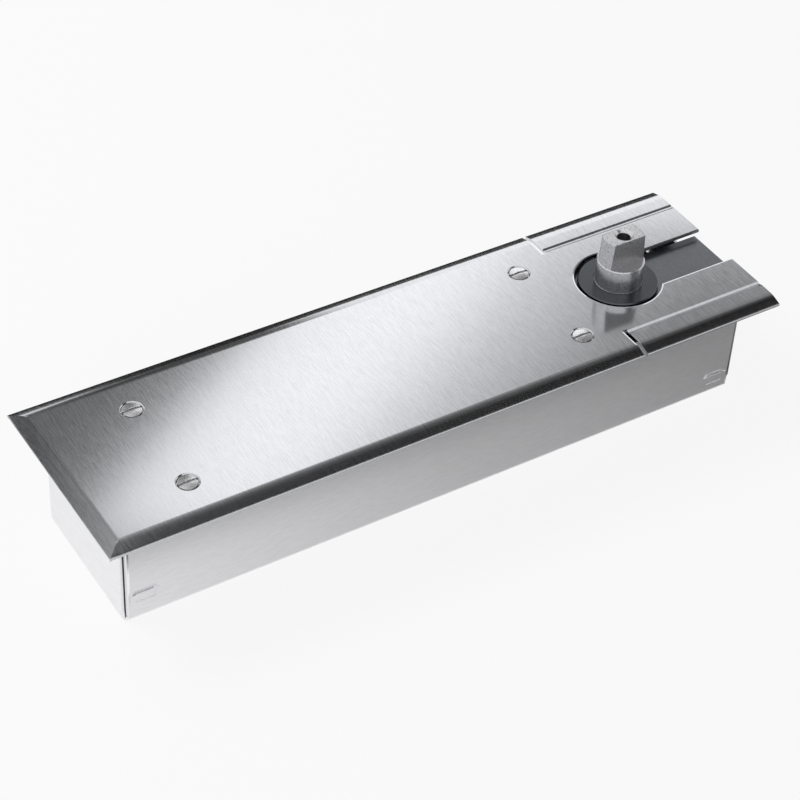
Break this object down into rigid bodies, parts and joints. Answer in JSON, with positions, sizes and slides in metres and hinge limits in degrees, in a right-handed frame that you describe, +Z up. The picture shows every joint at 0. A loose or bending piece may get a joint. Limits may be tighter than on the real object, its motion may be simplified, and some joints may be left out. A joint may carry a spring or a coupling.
{
  "type": "floor-concealed door closer",
  "caption": "Floor-concealed hydraulic door closer: folded cement box, stainless cover plate with slot, turning spindle with flat conical head, and cam, piston and spring inside.",
  "frame": {"origin": "on the spindle axis, at the underside of the cement box", "axes": "+X runs towards the slotted end of the cover, +Y to the back, +Z up along the spindle, away from the box floor"},
  "size_m": [0.363, 0.105, 0.0872],
  "materials": {
    "zinc_sheet": "zinc-plated sheet, satin",
    "stainless_cover": "brushed across its length",
    "bright_screw": "bright zinc-plated",
    "slot_steel": "fine-brushed",
    "cast_body": "cast, grey primer",
    "cap_steel": "turned, dark satin",
    "spindle_steel": "forged and ground, grainy",
    "cam_steel": "hardened and ground",
    "machine_steel": "turned",
    "spring_steel": "shot-peened and oiled",
    "bearing_steel": "ground",
    "bearing_bronze": "turned bronze",
    "seal_rubber": "smooth, oiled"
  },
  "bodies": {
    "closer": {"cement_box": "zinc_sheet", "cover_bars": "zinc_sheet", "rivet_nuts": "bright_screw", "cover_plate": "stainless_cover", "cover_screws": "bright_screw", "slot_plate": "slot_steel", "slot_plate_screws": "bright_screw", "housing": "cast_body", "bearing_cap": "cap_steel", "cap_seal": "seal_rubber", "cap_screws": "bright_screw", "upper_bearing": "bearing_steel", "shaft_seal": "seal_rubber", "lower_bearing": "bearing_bronze", "thrust_washer": "bearing_steel", "end_plug": "machine_steel", "plug_seal": "seal_rubber", "filler_screw": "bright_screw", "levelling_screws": "bright_screw", "clamp_screws": "bright_screw", "clamp_washers": "bright_screw", "closing_spring": "spring_steel"},
    "spindle_unit": {"spindle": "spindle_steel", "cam": "cam_steel", "cam_key": "machine_steel", "retaining_ring": "spring_steel"},
    "piston_unit": {"piston": "machine_steel", "piston_seal": "seal_rubber", "roller_axle": "bearing_steel", "check_ball": "bearing_steel", "check_screw": "machine_steel"},
    "roller": {"pressure_roller": "bearing_steel"},
    "force_plate": {"spring_plate": "machine_steel"},
    "force_adjuster": {"force_screw": "machine_steel"},
    "closing_seal": {"closing_valve_seal": "seal_rubber"},
    "closing_needle": {"closing_valve": "machine_steel"},
    "latching_seal": {"latching_valve_seal": "seal_rubber"},
    "latching_needle": {"latching_valve": "machine_steel"}
  },
  "joints": [
    {"name": "spindle_turn", "type": "hinge", "parent": "closer", "child": "spindle_unit", "pos_m": [0, 0, 0.0365], "axis": [0, 0, 1], "range_deg": [0, 130], "stiffness_Nm_per_rad": 5},
    {"name": "piston_slide", "type": "slide", "parent": "closer", "child": "piston_unit", "axis": [-1, 0, 0], "range_m": [0, 0.01362], "deforming": ["closing_spring"]},
    {"name": "roller_spin", "type": "hinge", "parent": "piston_unit", "child": "roller", "pos_m": [-0.018, 0, 0.0285], "axis": [0, 0, 1], "continuous": true},
    {"name": "force_plate_slide", "type": "slide", "parent": "closer", "child": "force_plate", "axis": [1, 0, 0], "range_m": [0, 0.00525], "deforming": ["closing_spring"]},
    {"name": "force_screw_turn", "type": "hinge", "parent": "force_plate", "child": "force_adjuster", "pos_m": [-0.216, 0, 0.0285], "axis": [1, 0, 0], "range_deg": [0, 1080]},
    {"name": "closing_valve_lift", "type": "slide", "parent": "closer", "child": "closing_seal", "axis": [0, 0, 1], "range_m": [0, 0.001]},
    {"name": "closing_valve_turn", "type": "hinge", "parent": "closing_seal", "child": "closing_needle", "pos_m": [-0.066, -0.0205, 0.043], "axis": [0, 0, 1], "range_deg": [0, 360]},
    {"name": "latching_valve_lift", "type": "slide", "parent": "closer", "child": "latching_seal", "axis": [0, 0, 1], "range_m": [0, 0.001]},
    {"name": "latching_valve_turn", "type": "hinge", "parent": "latching_seal", "child": "latching_needle", "pos_m": [-0.066, 0.0205, 0.043], "axis": [0, 0, 1], "range_deg": [0, 360]}
  ],
  "couplings": [
    {"joint": "piston_slide", "follows": "spindle_turn", "m_per_rad": 0.006},
    {"joint": "force_screw_turn", "follows": "force_plate_slide", "rad_per_m": 3590.4},
    {"joint": "closing_valve_turn", "follows": "closing_valve_lift", "rad_per_m": 6283.2},
    {"joint": "latching_valve_turn", "follows": "latching_valve_lift", "rad_per_m": 6283.2}
  ]
}
